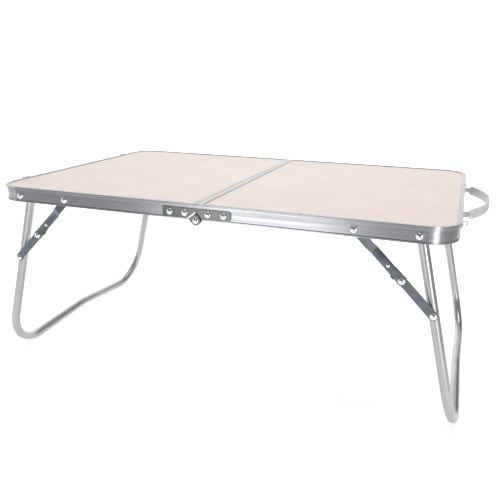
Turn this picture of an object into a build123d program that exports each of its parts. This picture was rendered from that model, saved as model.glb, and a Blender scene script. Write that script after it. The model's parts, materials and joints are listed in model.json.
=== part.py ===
from build123d import *
import math
import os

os.makedirs("parts", exist_ok=True)

# Folding suitcase table, millimetres. +X right, +Y back, +Z up.
# Origin on the floor, midway between the two halves and midway front to back.
table_length = 600.0
table_width = 400.0
table_height = 260.0
corner_radius = 37.0
seam_gap = 0.3

# Edge rail, depths counted down from the table top
rail_height = 20.0
rail_wall = 1.2
rail_lip_reach = 5.4
rail_lip_thickness = 1.0
rail_recess = 2.2
rail_bead_height = 2.0
rail_rib_inset = 1.2
rail_rib_height = 2.1
shelf_reach = 7.0
shelf_thickness = 1.0
laminate_thickness = 0.6
board_thickness = 3.0

# Seam edging
edging_reach = 7.5
edging_wall = 1.0

# Legs: one bent tube each, measured in the plane of the leg
tube_radius = 6.0
tube_wall = 1.1
leg_pivot_x = 258.5
pivot_drop = 11.8
leg_splay = 13.7
leg_top_y = 174.7
leg_foot_y = 182.1
leg_corner_length = 254.1
foot_rise = 13.9
foot_bend_radius = 58.0
arch_bend_radius = 120.0
pivot_pin_radius = 2.5
bush_radius = 4.5

# Struts, front side only
strut_rail_x = 188.5
strut_tube_length = 95.5
strut_width = 10.6
strut_thickness = 1.6
strut_plane_y = 189.2
strut_layer_gap = 0.3
strut_spacer = 4.2
strut_joggle_start = 24.5
strut_joggle_end = 32.0
strut_knee_radius = 6.0
strut_overrun = 15.0
strut_dimple_back = 22.6
rivet_shank_radius = 2.0
running_gap = 0.08

# Dome rivet heads
rivet_head_radius = 4.7
rivet_head_height = 3.0

# Centre hinges
hinge_leaf_length = 44.6
hinge_leaf_height = 12.0
hinge_leaf_thickness = 1.4
hinge_lobe_radius = 6.2
hinge_lobe_start = 9.4
hinge_lobe_top = 9.4
hinge_rivet_near = 15.0
hinge_rivet_far = 35.1
hinge_notch_half = 9.0

# Carrying handle
handle_half_span = 79.0
handle_reach = 331.5
handle_pivot_x = 305.0
handle_pivot_z = 250.0
handle_height = 13.0
handle_thickness = 1.8
handle_pin_radius = 1.6
handle_eye_length = 3.5

# Case latches
latch_y = 131.0
latch_pivot_z = 247.0
latch_width = 8.0
latch_top = 254.2
catch_top = 260.0
latch_hook_reach = 7.0

# Places worked out from the sizes above
half_length = table_length / 2
half_width = table_width / 2
rail_bottom = table_height - rail_height
pivot_z = table_height - pivot_drop
web_face = half_width - rail_recess
web_inner = web_face - rail_wall
shelf_top = table_height - rail_lip_thickness - laminate_thickness - board_thickness
strut_tube_x = leg_pivot_x + strut_tube_length * math.sin(math.radians(leg_splay))
strut_tube_z = pivot_z - strut_tube_length * math.cos(math.radians(leg_splay))
strut_span = math.hypot(strut_tube_x - strut_rail_x, pivot_z - strut_tube_z)
strut_angle = math.degrees(math.atan2(strut_tube_z - pivot_z, strut_tube_x - strut_rail_x))
strut_difference = strut_tube_length - (leg_pivot_x - strut_rail_x)
upper_length = (strut_span + strut_difference) / 2
lower_length = (strut_span - strut_difference) / 2
lower_plane_y = strut_plane_y - strut_thickness - strut_layer_gap


def save(shape, name):
    shape.label = name
    export_step(shape, "parts/" + name + ".step")


def mirror_x(shape):
    return mirror(shape, about=Plane.YZ)


def mirror_y(shape):
    return mirror(shape, about=Plane.XZ)


def slab(x0, x1, y0, y1, z0, z1):
    return Pos((x0 + x1) / 2, (y0 + y1) / 2, (z0 + z1) / 2) * Box(x1 - x0, y1 - y0, z1 - z0)


def ring(outer_inset, inner_inset, top_drop, bottom_drop):
    # One level of the rail, as a band between two rounded outlines
    outer = RectangleRounded(
        table_length - 2 * outer_inset, table_width - 2 * outer_inset, corner_radius - outer_inset
    )
    inner = RectangleRounded(
        table_length - 2 * inner_inset, table_width - 2 * inner_inset, corner_radius - inner_inset
    )
    band = extrude(outer - inner, amount=bottom_drop - top_drop)
    return Pos(0, 0, table_height - bottom_drop) * band


def plate(inset, top_drop, bottom_drop, start_x):
    outline = RectangleRounded(
        table_length - 2 * inset, table_width - 2 * inset, corner_radius - inset
    )
    block = extrude(outline, amount=bottom_drop - top_drop)
    block = Pos(0, 0, table_height - bottom_drop) * block
    return block & slab(start_x, 400, -300, 300, 0, 400)


def y_rod(x, z, radius, y0, y1):
    return Pos(x, (y0 + y1) / 2, z) * Rot(90, 0, 0) * Cylinder(radius, abs(y1 - y0))


def x_rod(y, z, radius, x0, x1):
    return Pos((x0 + x1) / 2, y, z) * Rot(0, 90, 0) * Cylinder(radius, abs(x1 - x0))


def dome_front(x, z, face_y, radius, height):
    # Dome head standing on the plane y = -face_y, pointing to the front
    ball = (radius * radius + height * height) / (2 * height)
    dome = Pos(x, -face_y + ball - height, z) * Sphere(ball)
    return dome & slab(x - 20, x + 20, -face_y - height, -face_y, z - 20, z + 20)


# Edge rail of the right half, one U-shaped extrusion
rail = ring(0.0, rail_lip_reach, 0.0, rail_lip_thickness)
rail += ring(0.0, rail_recess + rail_wall, 0.9, rail_bead_height)
rail += ring(rail_recess, rail_recess + rail_wall, 1.5, rail_height)
rail += ring(rail_rib_inset, rail_recess + 0.3, 1.5, 4.4)
rail += ring(rail_rib_inset, rail_recess + 0.3, rail_height - rail_rib_height, rail_height)
shelf_drop = table_height - shelf_top
rail += ring(rail_recess + 0.5, shelf_reach, shelf_drop, shelf_drop + shelf_thickness)
rail = rail & slab(seam_gap / 2, 400, -300, 300, 0, 400)
for side in (-1, 1):
    notch_z = rail_bottom + 3.2
    notch = slab(-1, hinge_notch_half, web_face, 300, rail_bottom - 1, notch_z)
    rail -= notch if side > 0 else mirror_y(notch)

# Holes for everything that passes through the rail
rail_holes = [(leg_pivot_x, -1), (leg_pivot_x, 1), (strut_rail_x, -1)]
for x, side in rail_holes:
    rail -= y_rod(x, pivot_z, rivet_shank_radius, side * 190, side * 210)
for x in (hinge_rivet_near, hinge_rivet_far):
    for side in (-1, 1):
        rail -= y_rod(x, pivot_z, 1.6, side * 190, side * 210)
side_web = half_length - rail_recess
for y in (-handle_half_span, handle_half_span):
    for dy in (-3.2, 3.2):
        rail -= x_rod(y + dy, handle_pivot_z, 1.1, side_web - 5, side_web + 5)
for y in (-latch_y, latch_y):
    rail -= x_rod(y, latch_pivot_z, 1.5, side_web - 5, side_web + 5)
save(rail, "right_rail")

left_rail = ring(0.0, rail_lip_reach, 0.0, rail_lip_thickness)
left_rail += ring(0.0, rail_recess + rail_wall, 0.9, rail_bead_height)
left_rail += ring(rail_recess, rail_recess + rail_wall, 1.5, rail_height)
left_rail += ring(rail_rib_inset, rail_recess + 0.3, 1.5, 4.4)
left_rail += ring(rail_rib_inset, rail_recess + 0.3, rail_height - rail_rib_height, rail_height)
left_rail += ring(rail_recess + 0.5, shelf_reach, shelf_drop, shelf_drop + shelf_thickness)
left_rail = left_rail & slab(-400, -seam_gap / 2, -300, 300, 0, 400)
for side in (-1, 1):
    notch = slab(-hinge_notch_half, 1, web_face, 300, rail_bottom - 1, rail_bottom + 3.2)
    left_rail -= notch if side > 0 else mirror_y(notch)
for x, side in rail_holes:
    left_rail -= y_rod(-x, pivot_z, rivet_shank_radius, side * 190, side * 210)
for x in (hinge_rivet_near, hinge_rivet_far):
    for side in (-1, 1):
        left_rail -= y_rod(-x, pivot_z, 1.6, side * 190, side * 210)
for y in (-latch_y, latch_y):
    left_rail -= x_rod(y, latch_pivot_z, 1.1, -side_web - 5, -side_web + 5)
save(left_rail, "left_rail")

# Boards: a core with a laminate skin on top, held in the rail
board_inset = rail_recess + rail_wall
board_start = seam_gap / 2 + edging_wall
laminate_bottom = rail_lip_thickness + laminate_thickness
laminate = plate(rail_lip_reach + 0.05, rail_lip_thickness, laminate_bottom, edging_reach + 0.05)
core = plate(board_inset, laminate_bottom, laminate_bottom + board_thickness, board_start)
save(laminate, "right_laminate")
save(mirror_x(laminate), "left_laminate")
save(core, "right_board")
save(mirror_x(core), "left_board")

# Edging along the seam, a shallow channel over the board's edge
edging_half = half_width - rail_lip_reach
core_half = half_width - shelf_reach
edging_bottom = shelf_top - 0.7
edging = slab(seam_gap / 2, edging_reach, -edging_half, edging_half, table_height - 1.0, table_height - 0.1)
edging += slab(seam_gap / 2, board_start, -core_half, core_half, edging_bottom, table_height - 0.1)
edging += slab(seam_gap / 2, edging_reach, -core_half, core_half, edging_bottom, shelf_top)
save(edging, "right_edging")
save(mirror_x(edging), "left_edging")


# Legs: centre line in the leg's own plane, across and down from the pivots
def leg_point(across, down):
    lean = math.radians(leg_splay)
    x = leg_pivot_x + down * math.sin(lean)
    return Vector(x, across, pivot_z - down * math.cos(lean))


def leg_tube(radius):
    corners = [
        leg_point(-leg_top_y, 0),
        leg_point(-leg_foot_y, leg_corner_length),
        leg_point(0, leg_corner_length - foot_rise),
        leg_point(leg_foot_y, leg_corner_length),
        leg_point(leg_top_y, 0),
    ]
    bends = [foot_bend_radius, arch_bend_radius, foot_bend_radius]
    edges = []
    last = corners[0]
    for i in range(3):
        corner = corners[i + 1]
        back = (corners[i] - corner).normalized()
        ahead = (corners[i + 2] - corner).normalized()
        half_angle = math.acos(back.dot(ahead)) / 2
        reach = bends[i] / math.tan(half_angle)
        middle = (back + ahead).normalized()
        depth = bends[i] / math.sin(half_angle) - bends[i]
        start = corner + back * reach
        finish = corner + ahead * reach
        edges.append(Line(last, start))
        edges.append(ThreePointArc(start, corner + middle * depth, finish))
        last = finish
    edges.append(Line(last, corners[4]))
    path = Wire(edges)
    direction = (corners[1] - corners[0]).normalized()
    profile = Plane(origin=corners[0], z_dir=direction) * Circle(radius)
    return sweep(profile, path=path)


leg = leg_tube(tube_radius)
for side in (-1, 1):
    leg += Pos(leg_pivot_x, side * leg_top_y, pivot_z) * Sphere(tube_radius)
leg -= leg_tube(tube_radius - tube_wall)
for side in (-1, 1):
    leg -= y_rod(leg_pivot_x, pivot_z, pivot_pin_radius + running_gap, side * 160, side * 190)
tube_face_y = leg_top_y + (leg_foot_y - leg_top_y) * strut_tube_length / leg_corner_length
tube_hole = y_rod(strut_tube_x, strut_tube_z, rivet_shank_radius, -200, -tube_face_y)
leg -= tube_hole
save(leg, "right_leg")
save(mirror_x(leg), "left_leg")

# Leg pivots: a bush between rail and tube, and a rivet through all of it
bush = y_rod(leg_pivot_x, pivot_z, bush_radius, -web_inner, -leg_top_y - tube_radius - 0.2)
bush -= y_rod(leg_pivot_x, pivot_z, pivot_pin_radius, -300, 0)
bushes = Compound([bush, mirror_y(bush)])
pin = y_rod(leg_pivot_x, pivot_z, rivet_shank_radius, -web_face - 0.1, -web_inner)
pin += y_rod(leg_pivot_x, pivot_z, pivot_pin_radius, -web_inner, -leg_top_y + tube_radius + 0.4)
pin += y_rod(
    leg_pivot_x, pivot_z, 4.2, -leg_top_y + tube_radius + 0.4, -leg_top_y + tube_radius + 1.9
)
pin += dome_front(leg_pivot_x, pivot_z, web_face, rivet_head_radius, rivet_head_height)
pins = Compound([pin, mirror_y(pin)])
for name, mirrored in (("right", False), ("left", True)):
    save(mirror_x(bushes) if mirrored else bushes, name + "_leg_bushes")
    save(mirror_x(pins) if mirrored else pins, name + "_leg_pivots")


# Struts: drawn along X from their first pivot, then turned into place
def flat_bar(length, end_radius, y_outer, start_radius):
    bar = slab(0, length, -y_outer, -y_outer + strut_thickness, -strut_width / 2, strut_width / 2)
    bar += y_rod(0, 0, start_radius, -y_outer, -y_outer + strut_thickness)
    bar += y_rod(length, 0, end_radius, -y_outer, -y_outer + strut_thickness)
    return bar


rail_plane_y = web_inner - strut_spacer
side_view = Polyline(
    (-10, -rail_plane_y),
    (strut_joggle_start, -rail_plane_y),
    (strut_joggle_end, -strut_plane_y),
    (upper_length + 10, -strut_plane_y),
    (upper_length + 10, -strut_plane_y + strut_thickness),
    (strut_joggle_end, -strut_plane_y + strut_thickness),
    (strut_joggle_start, -rail_plane_y + strut_thickness),
    (-10, -rail_plane_y + strut_thickness),
    close=True,
)
side_body = Pos(0, 0, -10) * extrude(make_face(side_view), amount=20)
outline_bar = slab(0, upper_length, -300, 0, -strut_width / 2, strut_width / 2)
outline_bar += y_rod(0, 0, strut_width / 2, -300, 0)
outline_bar += y_rod(upper_length, 0, strut_knee_radius, -300, 0)
upper = side_body & outline_bar
upper -= y_rod(0, 0, rivet_shank_radius + running_gap, -300, 0)
upper -= y_rod(upper_length, 0, rivet_shank_radius, -300, 0)
dimple_s = upper_length - strut_dimple_back
upper += dome_front(dimple_s, 0, strut_plane_y, 2.2, 0.9)

lower = flat_bar(lower_length + strut_overrun, strut_width / 2, lower_plane_y, strut_width / 2)
lower += y_rod(lower_length, 0, strut_knee_radius, -lower_plane_y, -lower_plane_y + strut_thickness)
tab_start = lower_length + 7.0
tab_in = strut_width / 2 + 0.15
tab_out = tab_in + 1.2
tab = slab(tab_start, tab_start + 5, -strut_plane_y - 0.6, -lower_plane_y + 0.8, tab_in, tab_out)
tab += slab(tab_start, tab_start + 5, -lower_plane_y, -lower_plane_y + 0.8, tab_in - 1.5, tab_out)
lower += tab
lower -= y_rod(0, 0, rivet_shank_radius + running_gap, -300, 0)
lower -= y_rod(lower_length, 0, rivet_shank_radius, -300, 0)

knee_head = y_rod(upper_length, 0, rivet_shank_radius, -strut_plane_y - 0.1, -strut_plane_y + strut_thickness)
knee_head += dome_front(upper_length, 0, strut_plane_y, 4.6, 2.7)
knee_tail = y_rod(lower_length, 0, rivet_shank_radius, -lower_plane_y, -lower_plane_y + strut_thickness)

at_rail = Pos(strut_rail_x, 0, pivot_z) * Rot(0, -strut_angle, 0)
at_tube = Pos(strut_tube_x, 0, strut_tube_z) * Rot(0, -strut_angle - 180, 0)
rail_rivet = y_rod(strut_rail_x, pivot_z, rivet_shank_radius, -web_face - 0.1, -rail_plane_y + 1.8)
rail_rivet += y_rod(
    strut_rail_x, pivot_z, 3.4, -rail_plane_y + strut_thickness + 0.2, -rail_plane_y + 2.9
)
rail_rivet += y_rod(strut_rail_x, pivot_z, 4.0, -web_inner, -rail_plane_y - 0.1)
rail_rivet += dome_front(strut_rail_x, pivot_z, web_face, rivet_head_radius, rivet_head_height)
collar_end = tube_face_y + tube_radius - 0.5
tube_rivet = y_rod(strut_tube_x, strut_tube_z, rivet_shank_radius, -lower_plane_y - 0.3, -tube_face_y - 2.0)
tube_rivet += dome_front(strut_tube_x, strut_tube_z, lower_plane_y + 0.2, 4.3, 1.7)
collar = y_rod(strut_tube_x, strut_tube_z, 3.6, -lower_plane_y + strut_thickness + 0.1, -collar_end)
collar -= leg_tube(tube_radius)
tube_rivet += collar

strut_nodes = [
    ("strut_upper", at_rail * upper),
    ("strut_lower", at_tube * lower),
    ("strut_knee_rivet", at_rail * knee_head),
    ("strut_knee_tail", at_tube * knee_tail),
    ("strut_rail_rivet", rail_rivet),
    ("strut_tube_rivet", tube_rivet),
]
for name, shape in strut_nodes:
    save(shape, "right_" + name)
    save(mirror_x(shape), "left_" + name)

# Centre hinges: two leaves in the rail's recess, lobes meeting on one pivot
leaf_inner = web_face
leaf_outer = web_face + hinge_leaf_thickness
leaf_low = pivot_z - hinge_leaf_height / 2
leaf_high = pivot_z + hinge_leaf_height / 2


def touch_point(x, z, turn):
    # Where a line from (x, z) touches the lobe's circle about the pivot
    away = math.atan2(z - rail_bottom, x)
    swing = math.acos(hinge_lobe_radius / math.hypot(x, z - rail_bottom)) * turn
    reach = away + swing
    return (hinge_lobe_radius * math.cos(reach), rail_bottom + hinge_lobe_radius * math.sin(reach))


def front_plate(points, y_outer, y_inner):
    # A flat plate facing the front, its outline given as (x, z)
    outline = make_face(Polyline(*points, close=True))
    plate_body = extrude(outline, amount=y_outer - y_inner)
    return Pos(0, -y_inner, 0) * Rot(90, 0, 0) * plate_body


right_leaf = slab(seam_gap / 2, hinge_leaf_length, -leaf_outer, -leaf_inner, leaf_low, leaf_high)
right_leaf = chamfer(right_leaf.edges().filter_by(Axis.Y).sort_by(Axis.X)[-2:], length=2.5)
bridge = [
    (seam_gap / 2, rail_bottom),
    touch_point(hinge_lobe_start, leaf_low, -1),
    (hinge_lobe_start, leaf_low),
    (hinge_lobe_start, leaf_low + 1),
    (seam_gap / 2, leaf_low + 1),
]
right_leaf += front_plate(bridge, leaf_outer, leaf_inner + 0.05)
right_leaf += y_rod(0, rail_bottom, hinge_lobe_radius, -leaf_outer, -leaf_inner - 0.05)
right_leaf -= y_rod(0, rail_bottom, rivet_shank_radius + running_gap, -300, 0)

step = hinge_leaf_thickness + 0.2
lobe_top = rail_bottom + hinge_lobe_top
inner_part = [
    (-hinge_leaf_length, leaf_low),
    (-hinge_lobe_start, leaf_low),
    (-seam_gap / 2, lobe_top),
    (-seam_gap / 2, leaf_high),
    (-hinge_leaf_length, leaf_high),
]
outer_part = [
    (-hinge_lobe_start - 1.2, leaf_low),
    touch_point(-hinge_lobe_start - 1.2, leaf_low, 1),
    (0, rail_bottom),
    touch_point(seam_gap, lobe_top, -1),
    (seam_gap, lobe_top),
    (-seam_gap / 2, lobe_top + 0.9),
]
left_leaf = front_plate(inner_part, leaf_outer, leaf_inner)
left_leaf += front_plate(outer_part, leaf_outer + step, leaf_outer + 0.2)
overlap_part = [
    (-hinge_lobe_start - 1.2, leaf_low),
    (-hinge_lobe_start, leaf_low),
    (-seam_gap / 2, lobe_top),
    (-seam_gap / 2, lobe_top + 0.9),
]
left_leaf += front_plate(overlap_part, leaf_outer + step, leaf_inner)
left_leaf += y_rod(0, rail_bottom, hinge_lobe_radius, -leaf_outer - step, -leaf_outer - 0.2)
left_leaf -= y_rod(0, rail_bottom, rivet_shank_radius, -300, 0)
right_leaf -= y_rod(0.3, lobe_top - 1.6, 1.2, -300, 0)
left_leaf -= y_rod(0.3, lobe_top - 1.6, 1.2, -300, 0)
for x in (hinge_rivet_near, hinge_rivet_far):
    right_leaf -= y_rod(x, pivot_z, 1.6, -300, 0)
    left_leaf -= y_rod(-x, pivot_z, 1.6, -300, 0)
save(right_leaf, "right_hinge_leaf_front")
save(mirror_y(right_leaf), "right_hinge_leaf_rear")
save(left_leaf, "left_hinge_leaf_front")
save(mirror_y(left_leaf), "left_hinge_leaf_rear")

hinge_pivot = y_rod(0, rail_bottom, rivet_shank_radius, -leaf_outer - step - 0.1, -leaf_inner - 0.1)
hinge_pivot += dome_front(0, rail_bottom, leaf_outer + step, 4.3, 2.4)
save(hinge_pivot, "hinge_pivot_front")
save(mirror_y(hinge_pivot), "hinge_pivot_rear")

rivets = []
for x in (hinge_rivet_near, hinge_rivet_far):
    rivet = y_rod(x, pivot_z, 1.6, -leaf_outer - 0.1, -web_inner)
    rivet += y_rod(x, pivot_z, 2.8, -web_inner, -web_inner + 1.0)
    rivet += dome_front(x, pivot_z, leaf_outer, 4.4, 2.6)
    rivets.append(rivet)
    rivets.append(mirror_y(rivet))
hinge_rivets = Compound(rivets)
save(hinge_rivets, "right_hinge_rivets")
save(mirror_x(hinge_rivets), "left_hinge_rivets")

# Carrying handle: an arched strap whose flat ends turn on pins
strap_end_x = handle_pivot_x + handle_eye_length
strap_line = ThreePointArc(
    (strap_end_x, -handle_half_span, 0),
    (handle_reach - handle_thickness / 2, 0, 0),
    (strap_end_x, handle_half_span, 0),
)
strap_start = Plane(origin=strap_line @ 0, x_dir=(0, 0, 1), z_dir=strap_line % 0)
handle = sweep(strap_start * Rectangle(handle_height, handle_thickness), path=strap_line)
handle = Pos(0, 0, handle_pivot_z) * handle
eye_half = handle_thickness / 2
for side in (-1, 1):
    y = side * handle_half_span
    eye = y_rod(handle_pivot_x, handle_pivot_z, 3.1, y - eye_half, y + eye_half)
    eye += slab(
        handle_pivot_x,
        strap_end_x,
        y - eye_half,
        y + eye_half,
        handle_pivot_z - 3.1,
        handle_pivot_z + 3.1,
    )
    fold = Pos(strap_end_x, y, handle_pivot_z) * Cylinder(eye_half, handle_height)
    handle = handle + eye + fold
    handle -= y_rod(handle_pivot_x, handle_pivot_z, handle_pin_radius + running_gap, y - 3, y + 3)
save(handle, "handle_strap")

brackets = []
handle_pins = []
bracket_rivets = []
for side in (-1, 1):
    y = side * handle_half_span
    ear_in = y + side * (eye_half + 0.25)
    ear_out = ear_in + side * 1.4
    base = slab(side_web, side_web + 1.0, y - 7.0, y + 7.0, 243.6, 255.0)
    ear = slab(side_web, handle_pivot_x, min(ear_in, ear_out), max(ear_in, ear_out), 246.6, 253.4)
    ear += y_rod(handle_pivot_x, handle_pivot_z, 3.4, ear_in, ear_out)
    bracket = base + ear
    bracket -= y_rod(handle_pivot_x, handle_pivot_z, handle_pin_radius, y - 6, y + 6)
    pin_in = y - side * (eye_half + 0.25)
    pin_tip = pin_in - side * 1.4
    pin = y_rod(handle_pivot_x, handle_pivot_z, handle_pin_radius, pin_in, ear_out + side * 1.0)
    pin += y_rod(handle_pivot_x, handle_pivot_z, 2.4, pin_in, pin_tip)
    pin += y_rod(handle_pivot_x, handle_pivot_z, 2.6, ear_out, ear_out + side * 1.0)
    for dy in (-3.2, 3.2):
        bracket -= x_rod(y + dy, handle_pivot_z, 1.1, side_web - 2, side_web + 3)
        small = x_rod(y + dy, handle_pivot_z, 1.1, side_web - rail_wall, side_web + 1.0)
        small += x_rod(y + dy, handle_pivot_z, 1.6, side_web - rail_wall - 0.8, side_web - rail_wall)
        bracket_rivets.append(small)
    brackets.append(bracket)
    handle_pins.append(pin)
save(Compound(brackets), "handle_brackets")
save(Compound(handle_pins), "handle_pins")
save(Compound(bracket_rivets), "handle_bracket_rivets")

# Case latches: hooked plates turning on rivets in the right end rail
for side, place in ((-1, "front"), (1, "rear")):
    y = side * latch_y
    face = side_web + 1.2
    hook = slab(face, face + 1.2, y - latch_width / 2, y + latch_width / 2, latch_pivot_z, latch_top)
    hook += x_rod(y, latch_pivot_z, latch_width / 2, face, face + 1.2)
    hook += slab(face, face + latch_hook_reach, y - 4, y + 4, latch_top - 1.2, latch_top)
    hook += slab(face + latch_hook_reach - 1.2, face + latch_hook_reach, y - 4, y + 4, latch_top - 5.5, latch_top)
    hook += slab(face, face + latch_hook_reach, y - 4, y + 4, latch_top - 4.1, latch_top - 3.1)
    hook -= x_rod(y, latch_pivot_z, 1.5 + running_gap, 280, 320)
    save(hook, "latch_hook_" + place)
    stud = x_rod(y, latch_pivot_z, 1.5, side_web - rail_wall, face + 1.4)
    stud += x_rod(y, latch_pivot_z, 2.6, side_web, face - 0.15)
    stud += x_rod(y, latch_pivot_z, 2.8, face + 1.35, face + 2.4)
    stud += x_rod(y, latch_pivot_z, 2.6, side_web - rail_wall - 0.8, side_web - rail_wall)
    save(stud, "latch_stud_" + place)

# Catches on the left end rail
catches = []
catch_rivets = []
for y in (-latch_y, latch_y):
    catch = slab(-side_web - 1.3, -side_web, y - 8, y + 8, 244.0, 255.4)
    catch += slab(-side_web - 6.5, -side_web, y - 8, y + 8, 254.2, 255.4)
    catch += slab(-side_web - 6.5, -side_web - 5.3, y - 8, y + 8, 254.2, catch_top)
    catch -= x_rod(y, latch_pivot_z, 1.1, -320, -280)
    catches.append(catch)
    rivet = x_rod(y, latch_pivot_z, 1.1, -side_web - 1.4, -side_web + rail_wall)
    rivet += x_rod(y, latch_pivot_z, 2.2, -side_web - 2.2, -side_web - 1.3)
    rivet += x_rod(y, latch_pivot_z, 1.8, -side_web + rail_wall, -side_web + rail_wall + 0.8)
    catch_rivets.append(rivet)
save(Compound(catches), "latch_catches")
save(Compound(catch_rivets), "latch_catch_rivets")

print("upper", round(upper_length, 3), "lower", round(lower_length, 3), "angle", round(strut_angle, 3))
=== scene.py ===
import json
import math

import bmesh
import bpy
from mathutils import Matrix, Vector


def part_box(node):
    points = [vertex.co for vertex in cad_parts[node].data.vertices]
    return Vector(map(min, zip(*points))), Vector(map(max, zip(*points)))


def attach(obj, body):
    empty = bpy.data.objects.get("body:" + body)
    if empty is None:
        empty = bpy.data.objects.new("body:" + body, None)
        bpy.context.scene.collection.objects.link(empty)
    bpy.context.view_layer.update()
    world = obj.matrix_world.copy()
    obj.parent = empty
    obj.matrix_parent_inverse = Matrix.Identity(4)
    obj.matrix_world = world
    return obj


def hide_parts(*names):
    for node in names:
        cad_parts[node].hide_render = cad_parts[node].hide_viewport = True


# Folding case table: aluminium-edged laminate halves on bent tube legs.
# Lengths are metres unless a name says otherwise.

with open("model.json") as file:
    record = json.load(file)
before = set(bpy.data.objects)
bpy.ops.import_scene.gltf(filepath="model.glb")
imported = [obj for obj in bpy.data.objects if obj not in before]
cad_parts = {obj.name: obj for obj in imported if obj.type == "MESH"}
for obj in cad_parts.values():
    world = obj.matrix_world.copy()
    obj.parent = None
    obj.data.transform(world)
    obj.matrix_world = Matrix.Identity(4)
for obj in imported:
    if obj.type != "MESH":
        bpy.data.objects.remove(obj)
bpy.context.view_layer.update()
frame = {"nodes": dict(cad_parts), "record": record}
nodes = frame["nodes"]
print("frame loaded:", len(nodes), "nodes")

mm = 0.001


# ---------- shader helpers


class Wire:
    # wraps one socket, so that shader maths can be written as an expression
    def __init__(self, bench, socket):
        self.bench = bench
        self.socket = socket

    def math(self, operation, *others):
        values = dict(enumerate((self, *others)))
        return self.bench.make("ShaderNodeMath", {"operation": operation}, values).out()

    def __add__(self, other):
        return self.math("ADD", other)

    def __mul__(self, other):
        return self.math("MULTIPLY", other)

    def absolute(self):
        return self.math("ABSOLUTE")


class Made:
    # a node that has just been made, with its outputs as wires
    def __init__(self, bench, node):
        self.bench = bench
        self.node = node

    def out(self, name=0):
        return Wire(self.bench, self.node.outputs[name])


class Bench:
    # one material, or the world, under construction
    def __init__(self, name, family=None):
        self.material = (bpy.data.materials if family is None else family).new(name)
        self.material.use_nodes = True
        self.tree = self.material.node_tree
        self.tree.nodes.clear()

    def make(self, kind, settings=None, values=None):
        node = self.tree.nodes.new(kind)
        for key, value in (settings or {}).items():
            if key == "stops":
                ramp = node.color_ramp
                while len(ramp.elements) < len(value):
                    ramp.elements.new(0.5)
                for stop, (place, colour) in zip(ramp.elements, value):
                    stop.position = place
                    stop.color = (*colour, 1.0)
            else:
                setattr(node, key, value)
        for key, value in (values or {}).items():
            if isinstance(value, Wire):
                self.tree.links.new(value.socket, node.inputs[key])
            else:
                node.inputs[key].default_value = value
        return Made(self, node)

    def place(self):
        return self.make("ShaderNodeTexCoord").out("Object")

    def stretch(self, scale, vector=None):
        values = {"Vector": vector or self.place(), "Scale": scale}
        return self.make("ShaderNodeMapping", None, values).out()

    def axis(self, number, vector=None):
        # one coordinate of a place or direction
        return self.make("ShaderNodeSeparateXYZ", None, {0: vector or self.place()}).out(number)

    def noise(self, scale, vector, detail=2.0, roughness=0.5):
        values = {"Vector": vector, "Scale": scale, "Detail": detail, "Roughness": roughness}
        return self.make("ShaderNodeTexNoise", None, values).out(0)

    def ramp(self, factor, stops):
        return self.make("ShaderNodeValToRGB", {"stops": stops}, {"Fac": factor}).out(0)

    def blend(self, factor, first, second):
        node = self.make("ShaderNodeMix", {"data_type": "RGBA"}, {0: factor}).node
        for key, value in ((6, first), (7, second)):
            if isinstance(value, Wire):
                self.tree.links.new(value.socket, node.inputs[key])
            else:
                node.inputs[key].default_value = (*value, 1.0)
        return Wire(self, node.outputs[2])

    def spread(self, signal, low, high, fromLow=0.0, fromHigh=1.0):
        values = {0: signal, 1: fromLow, 2: fromHigh, 3: low, 4: high}
        return self.make("ShaderNodeMapRange", None, values).out()

    def bump(self, height, distance, strength):
        values = {"Height": height, "Distance": distance, "Strength": strength}
        return self.make("ShaderNodeBump", None, values).out()

    def finish(self, **values):
        inputs = {key.replace("_", " "): value for key, value in values.items()}
        shader = self.make("ShaderNodeBsdfPrincipled", None, inputs).out()
        self.make("ShaderNodeOutputMaterial", None, {"Surface": shader})
        return self.material


# ---------- finishes

drawnLook = {
    "colour": (0.285, 0.286, 0.306),
    "paler": (0.425, 0.426, 0.448),
    "lineScale": 2600.0,  # drawing lines per metre across the bar
    "bandScale": 420.0,
    "lineDepth": 0.00003,
    "roughness": (0.20, 0.34),
}


def drawnAluminium(name, look, upright=True):
    # fine lines run along the bar, so the pattern only changes across it
    bench = Bench(name)
    fineScale, broadScale = look["lineScale"], look["bandScale"]
    fine = (0.6, 0.6, fineScale) if upright else (fineScale, 0.6, 1.0)
    wide = (5.0, 5.0, broadScale) if upright else (broadScale, 5.0, 1.0)
    lines = bench.noise(1.0, bench.stretch(fine), 3.0, 0.6)
    broad = bench.noise(1.0, bench.stretch(wide), 1.0)
    cloud = bench.noise(9.0, bench.place(), 2.0)
    mixed = lines * 0.35 + broad * 0.5 + cloud * 0.15
    colour = bench.blend(bench.spread(mixed, 0.0, 1.0, 0.32, 0.68), look["colour"], look["paler"])
    low, high = look["roughness"]
    rough = bench.spread(mixed, high, low, 0.3, 0.7)
    normal = bench.bump(lines, look["lineDepth"], 0.5)
    return bench.finish(Base_Color=colour, Metallic=1.0, Roughness=rough, Normal=normal)


tubeLook = {
    "colour": (0.475, 0.468, 0.48),
    "smudge": (0.42, 0.415, 0.425),
    "roughness": (0.27, 0.36),
}


def polishedTube(name, look):
    bench = Bench(name)
    place = bench.place()
    haze = bench.noise(16.0, place, 4.0, 0.6)
    rub = bench.noise(1.0, bench.stretch((420.0, 420.0, 9.0), place), 2.0, 0.6)
    mixed = haze * 0.75 + rub * 0.25
    colour = bench.blend(bench.spread(mixed, 0.0, 1.0, 0.35, 0.7), look["colour"], look["smudge"])
    rough = bench.spread(mixed, *look["roughness"], 0.35, 0.65)
    normal = bench.bump(rub, 0.000004, 0.3)
    return bench.finish(Base_Color=colour, Metallic=1.0, Roughness=rough, Normal=normal)


zincLook = {
    "colour": (0.130, 0.145, 0.166),
    "paler": (0.225, 0.250, 0.275),
    "roughness": (0.20, 0.34),
}


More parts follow.
